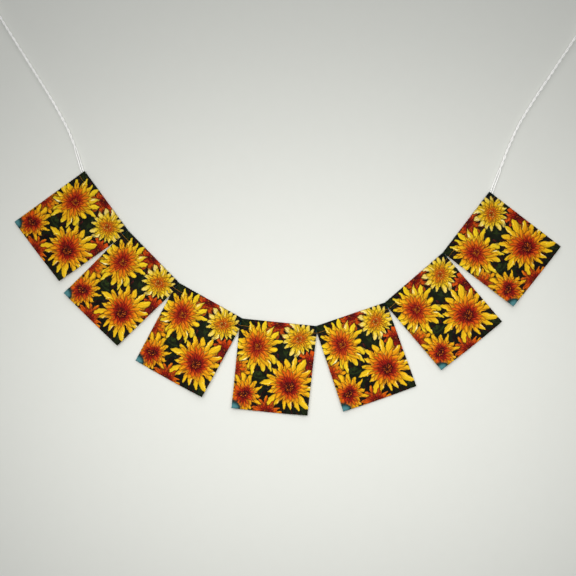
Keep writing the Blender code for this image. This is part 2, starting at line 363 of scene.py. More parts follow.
class Wire:
    """A node's output. Each sign that is written next to it adds a Math node."""

    def __init__(self, add, socket):
        self.add = add
        self.socket = socket

    __add__, __radd__ = sign("ADD")
    __sub__, __rsub__ = sign("SUBTRACT")
    __mul__, __rmul__ = sign("MULTIPLY")
    __truediv__, __rtruediv__ = sign("DIVIDE")
    __pow__, __rpow__ = sign("POWER")
    __mod__, __rmod__ = sign("FLOORED_MODULO")

    def __abs__(self):
        return self.add.math("ABSOLUTE", self)


class Outputs(dict):
    """Wires by the names of their sockets, which can be written after a dot too."""

    __getattr__ = dict.__getitem__


# For each kind of value, the first of a Mix node's two inputs, and its output
MIX_SOCKETS = {"FLOAT": (2, 0), "VECTOR": (4, 1), "RGBA": (6, 2)}


class Tree:
    """Adds nodes to a material or a group, one short call each."""

    def __init__(self, tree):
        self.tree = tree
        self.count = 0

    def node(self, kind, *values, **settings):
        """A new node, with its first inputs fed in order."""
        made = self.tree.nodes.new("ShaderNode" + kind)
        made.location = (180 * (self.count // 6), -190 * (self.count % 6))
        self.count += 1
        for name, value in settings.items():
            setattr(made, name, value)
        for socket, value in zip(made.inputs, values):
            self.feed(socket, value)
        return made

    def feed(self, socket, value):
        """Links a wire to the socket, or sets the socket to a plain value."""
        if isinstance(value, Wire):
            self.tree.links.new(value.socket, socket)
        elif socket.type == "RGBA":
            socket.default_value = (*value, 1.0)
        else:
            socket.default_value = value

    def fill(self, node, **values):
        """Feeds a node's inputs by name, with _ for a space."""
        for name, value in values.items():
            self.feed(node.inputs[name.replace("_", " ")], value)
        return node

    def out(self, node, key=0):
        return Wire(self, node.outputs[key])

    def outs(self, node):
        return Outputs((socket.name, Wire(self, socket)) for socket in node.outputs)

    def new(self, kind, *values, key=0, **settings):
        """One output of a new node."""
        return self.out(self.node(kind, *values, **settings), key)

    def math(self, operation, *values):
        return self.new("Math", *values, operation=operation)

    def vector(self, operation, *values):
        key = "Value" if operation == "LENGTH" else "Vector"
        return self.new("VectorMath", *values, key=key, operation=operation)

    def split(self, vector):
        made = self.node("SeparateXYZ", vector)
        return [self.out(made, axis) for axis in range(3)]

    def join(self, across, up, depth=0.0):
        return self.new("CombineXYZ", across, up, depth)

    def turned(self, vector, angle):
        made = self.node("VectorRotate", rotation_type="Z_AXIS")
        return self.out(self.fill(made, Vector=vector, Angle=angle))

    def mixed(self, kind, share, first, second, **settings):
        """Runs from first to second, for numbers, vectors or colours."""
        made = self.node("Mix", share, data_type=kind, **settings)
        pair, result = MIX_SOCKETS[kind]
        self.feed(made.inputs[pair], first)
        self.feed(made.inputs[pair + 1], second)
        return self.out(made, result)

    def blend(self, share, first, second, kind="MIX"):
        """Mixes two colours."""
        return self.mixed("RGBA", share, first, second, blend_type=kind)

    def shaded(self, tint, light):
        """A colour made darker or lighter by a plain number."""
        return self.blend(1.0, tint, self.join(light, light, light), "MULTIPLY")

    def between(self, first, second, share):
        """A number that runs from first to second."""
        return self.mixed("FLOAT", share, first, second)

    def step(self, value, low, high, out_low=0.0, out_high=1.0):
        """A soft step: out_low at low, out_high at high."""
        ends = low, high, out_low, out_high
        return self.new("MapRange", value, *ends, interpolation_type="SMOOTHSTEP")

    def noise(self, vector, scale, detail=2.0, roughness=0.5, output="Fac"):
        """Soft noise from 0 to 1, or its colour."""
        made = self.node("TexNoise")
        self.fill(made, Vector=vector, Scale=scale, Detail=detail, Roughness=roughness)
        return self.out(made, output)

    def group(self, tree, **values):
        """Places a group, and gives its outputs."""
        return self.outs(self.fill(self.node("Group", node_tree=tree), **values))


def dimmed(paint, share):
    return [value * share for value in paint]


def new_group(name, takes, gives):
    """A shader node group; takes and gives map its sockets' names to their kinds."""
    tree = bpy.data.node_groups.new(name, "ShaderNodeTree")
    for sockets, way in ((takes, "INPUT"), (gives, "OUTPUT")):
        for socket, kind in sockets.items():
            tree.interface.new_socket(name=socket, in_out=way, socket_type=kind)
    add = Tree(tree)
    return tree, add, add.outs(tree.nodes.new("NodeGroupInput")), tree.nodes.new("NodeGroupOutput")


VALUE = "NodeSocketFloat"
VECTOR = "NodeSocketVector"
COLOUR = "NodeSocketColor"

# A petal's shape: its least length and how much that varies, as shares of its ring's reach, how
# far its tip sways, how late and how bluntly it narrows, and its half width in petals
PETAL_LEAST = 0.80
PETAL_VARIES = 0.26
PETAL_SWAY = 0.45
PETAL_TAPER = 2.6
PETAL_BLUNTNESS = 0.8
PETAL_HALF_WIDTH = 0.62


def petal_outline_group():
    """Where a place lies in a ring of pointed petals, and how far inside its petal, in mm."""
    takes = dict.fromkeys(("Radius", "Angle", "Petals", "Reach", "Shift", "Seed"), VALUE)
    gives = dict.fromkeys(("Inside", "Side", "Share", "Luck", "Fate", "Number"), VALUE)
    tree, add, taken, given = new_group("petal_outline", takes, gives)
    count, radius = taken.Petals, taken.Radius
    per_turn = count / math.tau
    place = taken.Angle * per_turn + taken.Shift
    number = add.math("ROUND", place)
    wrapped = number % count
    chance = add.node("TexWhiteNoise", noise_dimensions="2D")
    add.fill(chance, Vector=add.join(wrapped, taken.Seed))
    luck, fate, _ = add.split(add.out(chance, "Color"))
    length = taken.Reach * (PETAL_LEAST + luck * PETAL_VARIES)
    share = radius / length
    side = place - number + (fate - 0.5) * (share * PETAL_SWAY)
    point = add.math("MAXIMUM", 1.0 - share**PETAL_TAPER, 0.0)
    spare = point**PETAL_BLUNTNESS * PETAL_HALF_WIDTH - abs(side)
    inside = add.math("MINIMUM", spare * (radius / per_turn), length - radius)
    add.fill(given, Inside=inside, Side=side, Share=share, Luck=luck, Fate=fate, Number=wrapped)
    return tree


# What a flower's groups take. Where holds its middle and reach, Kind its petals, turn and seed,
# and Look its squash and the tones of its tips and heart.
PICKS = ("Where", "Kind", "Look")
FLOWER_TAKES = dict.fromkeys(("Cloth", *PICKS), VECTOR)
LEAST_RADIUS = 0.01


def flower_place_group():
    """Distance and angle of a place from a flower's middle."""
    gives = {"Radius": VALUE, "Angle": VALUE, "Flat": VECTOR}
    tree, add, taken, given = new_group("flower_place", FLOWER_TAKES, gives)
    across, up, _ = add.split(taken.Where)
    _, turn, _ = add.split(taken.Kind)
    squash, _, _ = add.split(taken.Look)
    off = add.vector("SUBTRACT", taken.Cloth, add.join(across, up))
    across, up, _ = add.split(add.turned(off, turn))
    up = up / squash
    flat = add.join(across, up)
    radius = add.math("MAXIMUM", add.vector("LENGTH", flat), LEAST_RADIUS)
    add.fill(given, Radius=radius, Angle=add.math("ARCTAN2", up, across), Flat=flat)
    return tree


FLOWER_SHADOW = (4.2, 0.26)  # how far a flower's shadow falls on what lies behind, and its darkest


def flower_pick_group(place_group, outline_group):
    """Keeps a flower's values where it covers the place, and shades what lies round it."""
    gives = dict.fromkeys(PICKS, VECTOR) | {"Light": VALUE, "Found": VALUE}
    takes = FLOWER_TAKES | gives | {"Under " + name: VECTOR for name in PICKS}
    tree, add, taken, given = new_group("flower_pick", takes, gives)
    polar = add.group(place_group, **{name: taken[name] for name in FLOWER_TAKES})
    _, _, reach = add.split(taken.Where)
    petals, _, seed = add.split(taken.Kind)
    outline = add.group(
        outline_group, Radius=polar.Radius, Angle=polar.Angle, Petals=petals, Reach=reach,
        Shift=0.0, Seed=seed,
    )
    covered = add.math("GREATER_THAN", outline.Inside, 0.0)
    chosen = {}
    for name in PICKS:
        chosen[name] = add.mixed("VECTOR", covered, taken["Under " + name], taken[name])
    fade, darkest = FLOWER_SHADOW
    near = taken.Light * add.step(outline.Inside, -fade, 0.0, 1.0, darkest)
    light = add.math("MAXIMUM", near, covered)
    add.fill(given, Light=light, Found=add.math("MAXIMUM", taken.Found, covered), **chosen)
    return tree


# Rings of petals in a flower, from the outermost: reach as a share of the flower's, shift by part
# of a petal, how far down the tones it starts, and how dark the next ring's shadow makes it
RINGS = (
    (1.0, 0.0, 0.0, 0.36),
    (0.74, 0.5, 0.18, 0.40),
    (0.53, 0.15, 0.48, 0.45),
    (0.34, 0.6, 0.76, 0.50),
)
RING_SALT = 5.3
RING_SHADOW = 1.7  # how far it falls, in mm
# The tones of a flower, from the lightest, each with its place on a scale from 0 to 1
TONES = {"cream": 0.0, "lemon": 0.14, "golden": 0.36, "orange": 0.60, "red": 0.81, "maroon": 1.0}
# Brush strokes: how many cross a petal, the next petal's offset, and how far they drift along it
STROKES = (8.0, 3.7, 0.05)
STROKE_RIPENS = 1.1
LUCK_RIPENS = 0.3
RING_SPAN = 0.44  # share of the tones that one ring runs through
CORE_SHARE = 0.14


def petal_paint(add, petal, radius, salt, start):
    """How ripe and how light a petal's paint is: tones from its tip, strokes, rim and folds."""
    side, share = petal.Side, petal.Share
    across, offset, drift = STROKES
    strip = side * across + petal.Number * offset
    stroke = add.noise(add.join(strip, radius * drift, salt), 1.0, 3.0, 0.65)
    ripe = (stroke - 0.5) * STROKE_RIPENS + (petal.Luck - 0.5) * LUCK_RIPENS
    depth = start + add.step(share + ripe, 0.26, 0.86, 1.0, 0.0) * RING_SPAN
    lit = add.step(side, -0.05, 0.30) * add.step(stroke, 0.50, 0.66)
    lit = lit * add.step(share, 0.45, 0.75) * add.step(petal.Fate, 0.20, 0.55, 0.0, 0.34)
    rim = add.step(petal.Inside, 0.0, 1.3, 0.34, 1.0)
    fold = add.step(side, -0.40, 0.05, 0.68, 1.10)
    crease = add.step(abs(side), 0.0, 0.06, 0.80, 1.0)
    return depth, lit, rim * fold * crease * add.step(stroke, 0.30, 0.70, 0.84, 1.10)


def flower_group(place_group, outline_group, paints):
    """The picked flower's colour: rings of petals that run from its tips' tone to its heart's."""
    tree, add, taken, given = new_group("printed_flower", FLOWER_TAKES, {"Colour": COLOUR})
    polar = add.group(place_group, **{name: taken[name] for name in FLOWER_TAKES})
    radius = polar.Radius
    _, _, reach = add.split(taken.Where)
    petals, _, seed = add.split(taken.Kind)
    _, tip, heart = add.split(taken.Look)
    span = heart - tip
    seen_tone = seen_light = None
    for ring, (ring_reach, shift, start, _) in enumerate(RINGS):
        salt = seed + ring * RING_SALT
        petal = add.group(
            outline_group, Radius=radius, Angle=polar.Angle, Petals=petals, Shift=shift, Seed=salt,
            Reach=reach * ring_reach,
        )
        depth, lit, light = petal_paint(add, petal, radius, salt, start)
        tone_here = tip + depth * span - lit
        if ring:
            inside = petal.Inside
            mask = add.step(inside, -0.1, 0.3)
            under = add.step(inside, -RING_SHADOW, 0.1, 1.0, RINGS[ring - 1][3])
            seen_light = add.between(seen_light * under, light, mask)
            seen_tone = add.between(seen_tone, tone_here, mask)
        else:
            seen_tone, seen_light = tone_here, light
    dots = add.fill(add.node("TexVoronoi"), Vector=polar.Flat, Scale=0.55)
    speck = add.step(add.out(dots, "Distance"), 0.20, 0.55, 0.55, 0.0)
    core = add.step(radius / reach, CORE_SHARE + 0.01, CORE_SHARE - 0.01)
    seen_tone = add.between(seen_tone, heart - speck, core)
    ramp = add.node("ValToRGB", seen_tone)
    stops = ramp.color_ramp.elements
    stops[1].position = 1.0
    for position in list(TONES.values())[1:-1]:
        stops.new(position)
    for stop, name in zip(stops, TONES):
        stop.color = (*getattr(paints, name), 1.0)
    add.fill(given, Colour=add.shaded(add.out(ramp), seen_light))
    return tree


def leaf_group():
    """One leaf of the print, with its veins."""
    takes = {"Cloth": VECTOR, "Centre": VECTOR, "Length": VALUE, "Width": VALUE, "Turn": VALUE}
    takes |= {"Light": COLOUR, "Dark": COLOUR}
    tree, add, taken, given = new_group("printed_leaf", takes, {"Colour": COLOUR, "Mask": VALUE})
    off = add.vector("SUBTRACT", taken.Cloth, taken.Centre)
    turned = add.turned(off, taken.Turn)
    across, up, _ = add.split(turned)
    held = add.math("MAXIMUM", across / taken.Length + 0.5, 0.0)
    arch = add.math("SINE", add.math("MINIMUM", held, 1.0) * math.pi) ** 0.85
    away = abs(up)
    mask = add.step(taken.Width * 0.5 * arch - away, -0.1, 0.5)
    vein = add.step(add.math("SINE", across * 1.3 + away * -1.5), 0.2, 0.95)
    rib = add.step(away, 0.3, 0.9, 1.0, 0.0)
    stroke = add.noise(turned, 0.16, 3.0, 0.6)
    lit = add.step(stroke, 0.42, 0.72) * add.step(up, -4.0, 4.0, 0.25, 1.0)
    lit = add.math("MAXIMUM", lit, rib * 0.6) - vein * 0.2
    add.fill(given, Colour=add.blend(lit, taken.Dark, taken.Light), Mask=mask)
    return tree


# How light the cloth is: at its darkest, and how much the weave's crossings and slubs add. The
# crossings' share is painted shade that leaves the hollows between the threads darker; the slubs are
# lighter yarn at random
WEAVE_LEAST = 0.640
WEAVE_CROSSING_SHADE = 0.09
WEAVE_SLUBS = 0.074


def weave_group():
    """Plain weave on the cloth's own map: height, and how light each crossing is, with painted shade
    in the hollows between the threads.
    """
    takes = {"Cloth": VECTOR, "Pitch": VALUE}
    tree, add, taken, given = new_group("plain_weave_painted_shade", takes, {"Height": VALUE, "Light": VALUE})
    slip = (add.noise(taken.Cloth, 0.35) - 0.5) * 0.5
    across, up, _ = add.split(taken.Cloth)
    column = (across + slip) / taken.Pitch
    row = (up + slip) / taken.Pitch
    warp = abs(add.math("SINE", column * math.pi))
    weft = abs(add.math("SINE", row * math.pi))
    over = (add.math("FLOOR", column) + add.math("FLOOR", row)) % 2.0
    height = warp * over + weft * (1.0 - over)
    slub = add.noise(add.vector("MULTIPLY", taken.Cloth, (0.25, 3.0, 1.0)), 1.0)
    # Painted shade: the cloth's colour is darker between the threads than on their crossings; the
    # slubs vary its lightness at random
    light = height * WEAVE_CROSSING_SHADE + slub * WEAVE_SLUBS + WEAVE_LEAST
    add.fill(given, Height=height, Light=light)
    return tree


def fibre_group():
    """Fine fibres that wind round one strand of the cord, on its own map, with painted shade in the
    grooves between the plies.
    """
    takes = {"Round": VALUE, "Along": VALUE}
    tree, add, taken, given = new_group("wound_fibres_painted_shade", takes, {"Height": VALUE, "Light": VALUE})
    wind = taken.Round * 3.0 + taken.Along
    ply = abs(add.math("SINE", wind * math.pi))
    hair = add.noise(add.join(wind * 7.0, taken.Along * 0.4), 1.0, 3.0)
    height = ply**0.5 + hair * 0.35
    # Painted shade: the cotton is darker in the low grooves between the plies, and the hairs vary its
    # lightness at random
    add.fill(given, Height=height, Light=add.step(height, 0.2, 1.1, 0.92, 1.0))
    return tree


def new_material(name):
    """A material with a Principled shader, and what adds its nodes."""
    material = bpy.data.materials.new(name)
    material.use_nodes = True
    material.node_tree.nodes.clear()
    add = Tree(material.node_tree)
    shader = add.node("BsdfPrincipled")
    add.node("OutputMaterial", add.out(shader))
    return material, add, shader


# Flowers of the print, from the hindmost: centre from the bottom left corner of the cut, reach,
# petals, turn in degrees, seed, squash, and the tones of its tips and heart on the scale of TONES
FLOWERS = (
    ((66.0, 150.0), 28.0, 13, 12, 4.0, 0.95, 0.58, 0.95),
    ((127.0, 87.0), 26.0, 12, 40, 5.0, 1.05, 0.62, 1.00),
    ((1.0, 66.0), 27.0, 13, 65, 6.0, 1.00, 0.34, 0.86),
    ((59.0, 3.0), 30.0, 14, 5, 7.0, 0.90, 0.52, 0.95),
    ((105.0, 127.0), 35.0, 16, -15, 3.0, 0.94, 0.10, 0.60),
    ((18.0, 25.0), 36.0, 15, 25, 9.0, 1.08, 0.24, 1.00),
    ((34.0, 108.0), 45.0, 17, 8, 1.0, 1.08, 0.14, 0.90),
    ((94.0, 47.0), 49.0, 18, -20, 2.0, 1.04, 0.20, 1.00),
)
# Leaves: centre, length, width, and turn in degrees
LEAVES = (
    ((84.0, 98.0), 54.0, 18.0, 65.0),
    ((122.0, 112.0), 46.0, 17.0, -35.0),
    ((38.0, 58.0), 50.0, 17.0, 20.0),
    ((3.0, 148.0), 46.0, 18.0, 40.0),
    ((44.0, 34.0), 44.0, 16.0, -50.0),
    ((126.0, 4.0), 44.0, 18.0, 30.0),
)
# The hand's drift and tremble: how often it turns, how rough it is, and its reach in mm
HAND_SHAKES = ((0.045, 0.5, 16.0), (0.28, 0.6, 3.6))


def cloth_place(add):
    """The place on the flat cloth in millimetres, from its bottom left corner."""
    flat = add.new("UVMap", uv_map="cloth")
    return add.vector("MULTIPLY", flat, (CUT_WIDTH, CLOTH_LENGTH, 1.0))


def brushed_ground(add, hand, paints):
    """The dark ground of the print, brushed with green, red and blue-green."""
    streaks = add.vector("MULTIPLY", hand, (0.17, 0.030, 1.0))
    stroke = add.noise(streaks, 1.0, 4.0, 0.65)
    shade = add.blend(add.step(stroke, 0.46, 0.72), paints.ground, dimmed(paints.leaf, 0.40))
    warm = add.noise(add.vector("ADD", streaks, (13.0, 5.0, 2.0)), 1.0, 3.0)
    shade = add.blend(add.step(warm, 0.50, 0.70), shade, paints.maroon)
    shade = add.blend(add.step(warm, 0.64, 0.78), shade, paints.red)
    cool = add.noise(add.vector("ADD", streaks, (31.0, 7.0, 0.0)), 1.0, 3.0)
    return add.blend(add.step(cool, 0.62, 0.76), shade, paints.blue_green)


def print_colour(add, place, paints):
    """The flowered print's colour at a place on the cloth."""
    hand = place
    for scale, roughness, reach in HAND_SHAKES:
        drift = add.noise(place, scale, 2.0, roughness, "Color")
        off = add.vector("SUBTRACT", drift, (0.5, 0.5, 0.5))
        push = add.node("VectorMath", off, operation="SCALE")
        hand = add.vector("ADD", hand, add.out(add.fill(push, Scale=reach)))
    shade = brushed_ground(add, hand, paints)
    leaf = leaf_group()
    for centre, length, width, turn in LEAVES:
        made = add.group(
            leaf, Cloth=hand, Centre=(*centre, 0.0), Length=length, Width=width,
            Turn=math.radians(turn), Light=paints.leaf, Dark=dimmed(paints.leaf, 0.14),
        )
        shade = add.blend(made.Mask, shade, made.Colour)
    place_group, outline_group = flower_place_group(), petal_outline_group()
    pick = flower_pick_group(place_group, outline_group)
    chosen = Outputs(Where=(0.0, 0.0, 1.0), Kind=(9.0, 0.0, 0.0), Look=(1.0, 0.0, 1.0))
    chosen.update(Light=1.0, Found=0.0)
    for centre, reach, count, turn, seed, squash, tip, heart in FLOWERS:
        chosen = add.group(
            pick, Cloth=hand, Where=(*centre, reach), Kind=(count, math.radians(turn), seed),
            Look=(squash, tip, heart), Light=chosen.Light, Found=chosen.Found,
            Under_Where=chosen.Where, Under_Kind=chosen.Kind, Under_Look=chosen.Look,
        )
    picked = {name: chosen[name] for name in PICKS}
    flower = add.group(flower_group(place_group, outline_group, paints), Cloth=hand, **picked)
    shade = add.blend(chosen.Found, shade, flower.Colour)
    shade = add.shaded(shade, chosen.Light)
    corner = add.vector("LENGTH", hand)
    shade = add.blend(add.step(corner, 18.0, 12.0), shade, dimmed(paints.blue_green, 0.3))
    return add.blend(add.step(corner, 13.0, 5.0, 0.0, 0.85), shade, paints.pale_teal)


def seam_group():
    """The hem's seam: where its thread lies on the cloth, and how far it stands out."""
    gives = {"Mask": VALUE, "Height": VALUE}
    tree, add, taken, given = new_group("hem_seam", {"Cloth": VECTOR}, gives)
    across, up, _ = add.split(taken.Cloth)
    up = up + (add.noise(add.join(across, 0.0), 0.12, 1.0) - 0.5) * SEAM_STRAYS
    away = add.math("MINIMUM", *[abs(up - seam) for seam in SEAMS])
    step = across % STITCH_PITCH - STITCH_PITCH / 2
    end = abs(step) - (STITCH_LENGTH - STITCH_WIDTH) / 2
    from_thread = add.vector("LENGTH", add.join(away, add.math("MAXIMUM", end, 0.0)))
    mask = add.step(from_thread, STITCH_WIDTH * 0.55, STITCH_WIDTH * 0.40)
    thread = add.step(from_thread, STITCH_WIDTH * 0.5, 0.0)
    pulled = add.step(away, SEAM_PULLS, 0.0)
    add.fill(given, Mask=mask, Height=thread - pulled * 0.6)
    return tree


def raise_relief(add, shader, height, distance):
    """Gives a surface its fine relief, at most the given distance high."""
    bump = add.fill(add.node("Bump"), Strength=0.6, Distance=distance, Height=height)
    add.fill(shader, Normal=add.out(bump))


def dress_cloth(add, shader, tint, place, woven_groups, roughness):
    """Weave, seam, relief and finish that the cloth's two faces share."""
    weave, seam = woven_groups
    paints = bpy.context.scene.bunting_cloth
    woven = add.group(weave, Cloth=place, Pitch=paints.thread_pitch)
    sewn = add.group(seam, Cloth=place)
    # The weave's light darkens the whole cloth and adds painted shade in the hollows between the
    # threads
    shade = add.shaded(tint, woven.Light)
    shade = add.blend(sewn.Mask, shade, paints.thread)
    worn = add.noise(place, 0.09, 3.0)
    rough = add.step(worn, 0.2, 0.8, roughness - 0.06, roughness + 0.08)
    raise_relief(add, shader, woven.Height * 0.2 + sewn.Height, 0.35 * MM)
    add.fill(
        shader, Base_Color=shade, Roughness=rough, Specular_IOR_Level=0.08, Sheen_Weight=0.02,
        Sheen_Roughness=0.5,
    )


def cloth_materials():
    """Printed face, wrong side and cut edge."""
    paints = bpy.context.scene.bunting_cloth
    groups = weave_group(), seam_group()
    face, add, shader = new_material("printed_face")
    place = cloth_place(add)
    dress_cloth(add, shader, print_colour(add, place, paints), place, groups, 0.66)
    wrong, add, shader = new_material("wrong_side")
    place = cloth_place(add)
    soft = add.node("HueSaturation")
    add.fill(soft, Saturation=0.80, Value=0.9, Color=print_colour(add, place, paints))
    pale = add.blend(0.45, add.out(soft), RAW_CLOTH)
    dress_cloth(add, shader, pale, place, groups, 0.80)
    edge, add, shader = new_material("cut_edge")
    fray = add.step(add.noise(cloth_place(add), 2.2), 0.35, 0.65)
    tint = add.blend(fray, DYED_FRAY, RAW_FRAY)
    add.fill(shader, Base_Color=tint, Roughness=0.9)
    return face, wrong, edge


def cord_material():
    """White cotton with its fibres wound round each strand."""
    cotton, add, shader = new_material("white_cotton")
    flat = add.new("UVMap", uv_map="strand")
    along_strand, round_strand, _ = add.split(flat)
    fibres = add.group(fibre_group(), Round=round_strand, Along=along_strand / FIBRE_PITCH)
    # The fibres' light puts painted shade into the grooves between the plies
    tint = add.shaded(bpy.context.scene.bunting_cord.colour, fibres.Light)
    raise_relief(add, shader, fibres.Height, 0.15 * MM)
    add.fill(
        shader, Base_Color=tint, Roughness=0.85, Sheen_Weight=1.0, Subsurface_Weight=0.6,
        Subsurface_Radius=(1.0, 1.0, 1.0), Subsurface_Scale=1.5 * MM,
    )
    return cotton


def cloth_section():
    """The cloth's middle line from the bottom edge, over the cord, to the turned edge."""
    row = bpy.context.scene.bunting_cloth.row_height / MM
    rows = round((DROP - STITCH_DEPTH) / row)
    line = [Vector((mix(DROP, STITCH_DEPTH, k / rows), HEM_FRONT[0][1])) for k in range(rows)]
    turn = [Vector(point) for point in HEM_FRONT]
    for k in range(TURN_STEPS + 1):
        angle = math.pi * k / TURN_STEPS
        turn.append(
            Vector((CORD_DEPTH - HEM_RADIUS * math.sin(angle), -HEM_RADIUS * math.cos(angle)))
        )
    turn += [Vector(point) for point in HEM_BACK]
    return line + smooth(turn, HEM_STEP)


def line_lengths(line):
    """Length of cloth from the start of the line to each of its points."""
    lengths = [0.0]
    for first, second in zip(line, line[1:]):
        lengths.append(lengths[-1] + (second - first).length)
    return lengths


def side_out(junction, foot, down):
    """How far a side stands out beyond its stretch of cord.

    Two neighbours touch from the cord down to their parting.
    """
    parting = PARTINGS[junction]
    lean = 0.0
    if parting:
        lean = math.tan(math.radians(FLAGS[junction - 1].slope - FLAGS[junction].slope) / 2)
    if down < parting:
        return down * lean - END_GAP
    return mix(parting * lean - END_GAP, foot, (down - parting) / (DROP - parting))


def uneven(*place):
    return noise.noise(Vector(place))


def hung_point(number, share, down, back):
    """Where a point of the cloth hangs, in the flag's own frame."""
    flag = FLAGS[number]
    fall = down / DROP
    hung = min(max(fall, 0.0), 1.0)
    seed = number * 17.3
    ripple = bpy.context.scene.bunting_cloth.ripple / MM
    left = -side_out(number, -flag.left_out, down)
    right = flag.covers + side_out(number + 1, flag.right_out, down)
    ragged = uneven(share * 3.0, fall * 40.0, seed) * RAGGED_SIDE
    across = mix(left, right, share) + ragged * abs(2 * share - 1) ** 8
    side_drop = mix(flag.left_drop, flag.right_drop, share)
    bow = BOTTOM_BOW * 4 * share * (1 - share)
    frayed = uneven(share * 45.0, 3.0, seed) * FRAYED_EDGE
    low = down + (side_drop - DROP + bow + frayed) * hung**2
    forward = (flag.left_lift * (1 - share) ** 3 + flag.right_lift * share**3) * hung**1.5
    forward += flag.left_curl * ((1 - share) * fall) ** 4 + flag.right_curl * (share * fall) ** 4
    forward += flag.belly * math.sin(math.pi * share) * math.sin(math.pi * hung)
    wave = uneven(share * 3.1, fall * 1.3, seed + 5.0)
    forward += wave * ripple * min(max(fall * 2.2 - 0.15, 0.0), 1.0)
    near_seam = math.exp(-(((down - STITCH_DEPTH) / PUCKER_REACH) ** 2))
    forward += uneven(share * 17.0, seed, 2.0) * near_seam * PUCKER_HEIGHT
    return Vector((across, back + HANG_BACK * fall**2 - forward, -low)) * MM


def add_object(name, data):
    made = bpy.data.objects.new(name, data)
    bpy.context.scene.collection.objects.link(made)
    return made


def smooth_mesh(model, name):
    """The finished bmesh as a mesh with smooth faces."""
    for face in model.faces:
        face.smooth = True
    mesh = bpy.data.meshes.new(name)
    model.to_mesh(mesh)
    model.free()
    return mesh


def flag_mesh(name, number):
    """One flag's cloth, from its bottom edge over the cord to the edge turned down behind."""
    line = cloth_section()
    lengths = line_lengths(line)
    columns = bpy.context.scene.bunting_cloth.columns
    rows = len(line) - 1
    model = bmesh.new()
    bmesh.ops.create_grid(model, x_segments=columns, y_segments=rows, size=0.5)
    flat = model.loops.layers.uv.new("cloth")
    turn = Quaternion((0.0, 1.0, 0.0), math.radians(FLAGS[number].slope))
    grid = [(vert, vert.co.x + 0.5, round((vert.co.y + 0.5) * rows)) for vert in model.verts]
    places = {vert: (share, lengths[step] / CLOTH_LENGTH) for vert, share, step in grid}
    for face in model.faces:
        for loop in face.loops:
            loop[flat].uv = places[loop.vert]
    for vert, share, step in grid:
        vert.co = turn @ hung_point(number, share, *line[step]) + CORNERS[number] * MM
    return smooth_mesh(model, name)


def frames_along(points):
    """Each point with its direction and a steady pair of square directions."""
    found = []
    side = Vector((0.0, 1.0, 0.0))
    way = (points[1] - points[0]).normalized()
    for i, point in enumerate(points):
        after = points[min(i + 1, len(points) - 1)]
        before = points[max(i - 1, 0)]
        new_way = (after - before).normalized()
        side = way.rotation_difference(new_way) @ side
        side = (side - new_way * side.dot(new_way)).normalized()
        way = new_way
        found.append((point, way, side, way.cross(side)))
    return found


def parted(travelled, hems):
    """How far the strands are parted: most just outside the first and the last hem."""
    outside = max(hems[0] - travelled, travelled - hems[1])
    return ease(outside, -OPEN_FADE, 0.0) * ease(outside, OPEN_LENGTH + OPEN_FADE, OPEN_LENGTH)


def twisted(walk, lay, hems):
    """Angle of the twist, and how far the strands are parted, at each place of a path.

    Hidden in the hems, the twist is eased so that the strands lie side by side at both end hems.
    """
    travelled = angle = 0.0
    places = []
    before = walk[0][0]
    for point, *_ in walk:
        step = (point - before).length
        before = point
        travelled += step
        loose = parted(travelled, hems) if hems else 0.0
        angle += math.tau * step / lay * (1 - loose)
        places.append((travelled, angle, loose))
    if not hems:
        return [(angle, loose) for _, angle, loose in places]
    short = []
    for hem in hems:
        nearest = min(places, key=lambda place: abs(place[0] - hem))
        short.append((math.pi / 2 - nearest[1]) % math.pi)
    return [
        (angle + mix(short[0], short[1], ease(travelled, *hems)), loose)
        for travelled, angle, loose in places
    ]


def strands(paths, name, material, hems=None):
    """Two strands twisted together along each path, in millimetres, as one mesh.

    hems are the distances along the path at which it goes into the first hem and leaves the last.
    """
    cord = bpy.context.scene.bunting_cord
    radius = cord.strand_radius / MM
    spread = radius * STRAND_SPREAD
    lay = cord.lay / MM
    lines = []
    curve = bpy.data.curves.new(name, "CURVE")
    curve.dimensions = "3D"
    curve.resolution_u = 1
    curve.bevel_depth = cord.strand_radius
    curve.bevel_resolution = TUBE_RESOLUTION
    curve.use_fill_caps = True
    for path in paths:
        walk = frames_along(smooth(path, STRAND_STEP))
        turns = twisted(walk, lay, hems)
        for start in (0.0, math.pi):
            line = []
            for (point, _, side, other), (turn, loose) in zip(walk, turns):
                reach = mix(spread, CORD_DIAMETER / 2 - radius + OPEN_EXTRA, loose)
                turn += start
                line.append(point + (side * math.cos(turn) + other * math.sin(turn)) * reach)
            spline = curve.splines.new("POLY")
            spline.points.add(len(line) - 1)
            for target, place in zip(spline.points, line):
                target.co = (*(place * MM), 1.0)
            lines.append(line)
    holder = add_object(name + "_line", curve)
    shown = holder.evaluated_get(bpy.context.evaluated_depsgraph_get())
    mesh = bpy.data.meshes.new_from_object(shown)
    bpy.data.objects.remove(holder)
    bpy.data.curves.remove(curve)
    mesh.name = name
    measure_map(mesh, lines)
    mesh.materials.clear()
    mesh.materials.append(material)
    mesh.shade_smooth()
    return mesh


def measure_map(mesh, lines):
    """Makes the tubes' map read millimetres along each strand, and turns round it."""
    flat = mesh.uv_layers[0]
    flat.name = "strand"
    ring = 4 + 2 * TUBE_RESOLUTION
    start = 0
    for line in lines:
        length = sum((b - a).length for a, b in zip(line, line[1:]))
        count = (len(line) - 1) * ring + 2 * (ring - 2)
        for face in mesh.polygons[start:start + count]:
            for corner in face.loop_indices:
                flat.data[corner].uv.x *= length
        start += count


def add_piece(name, mesh, slot, *nodes):
    """Adds a finished piece that rides on the row and stands for its CAD nodes."""
    piece = add_object(name, mesh)
    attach(piece, "root")
    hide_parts(*nodes)
    return piece


def end_place(route):
    """Where the knot starts and which way it points, for the end that the route runs to."""
    way = way_out(route)
    return route[-1] + way * FACE_GAP, math.atan2(way.x, way.z)


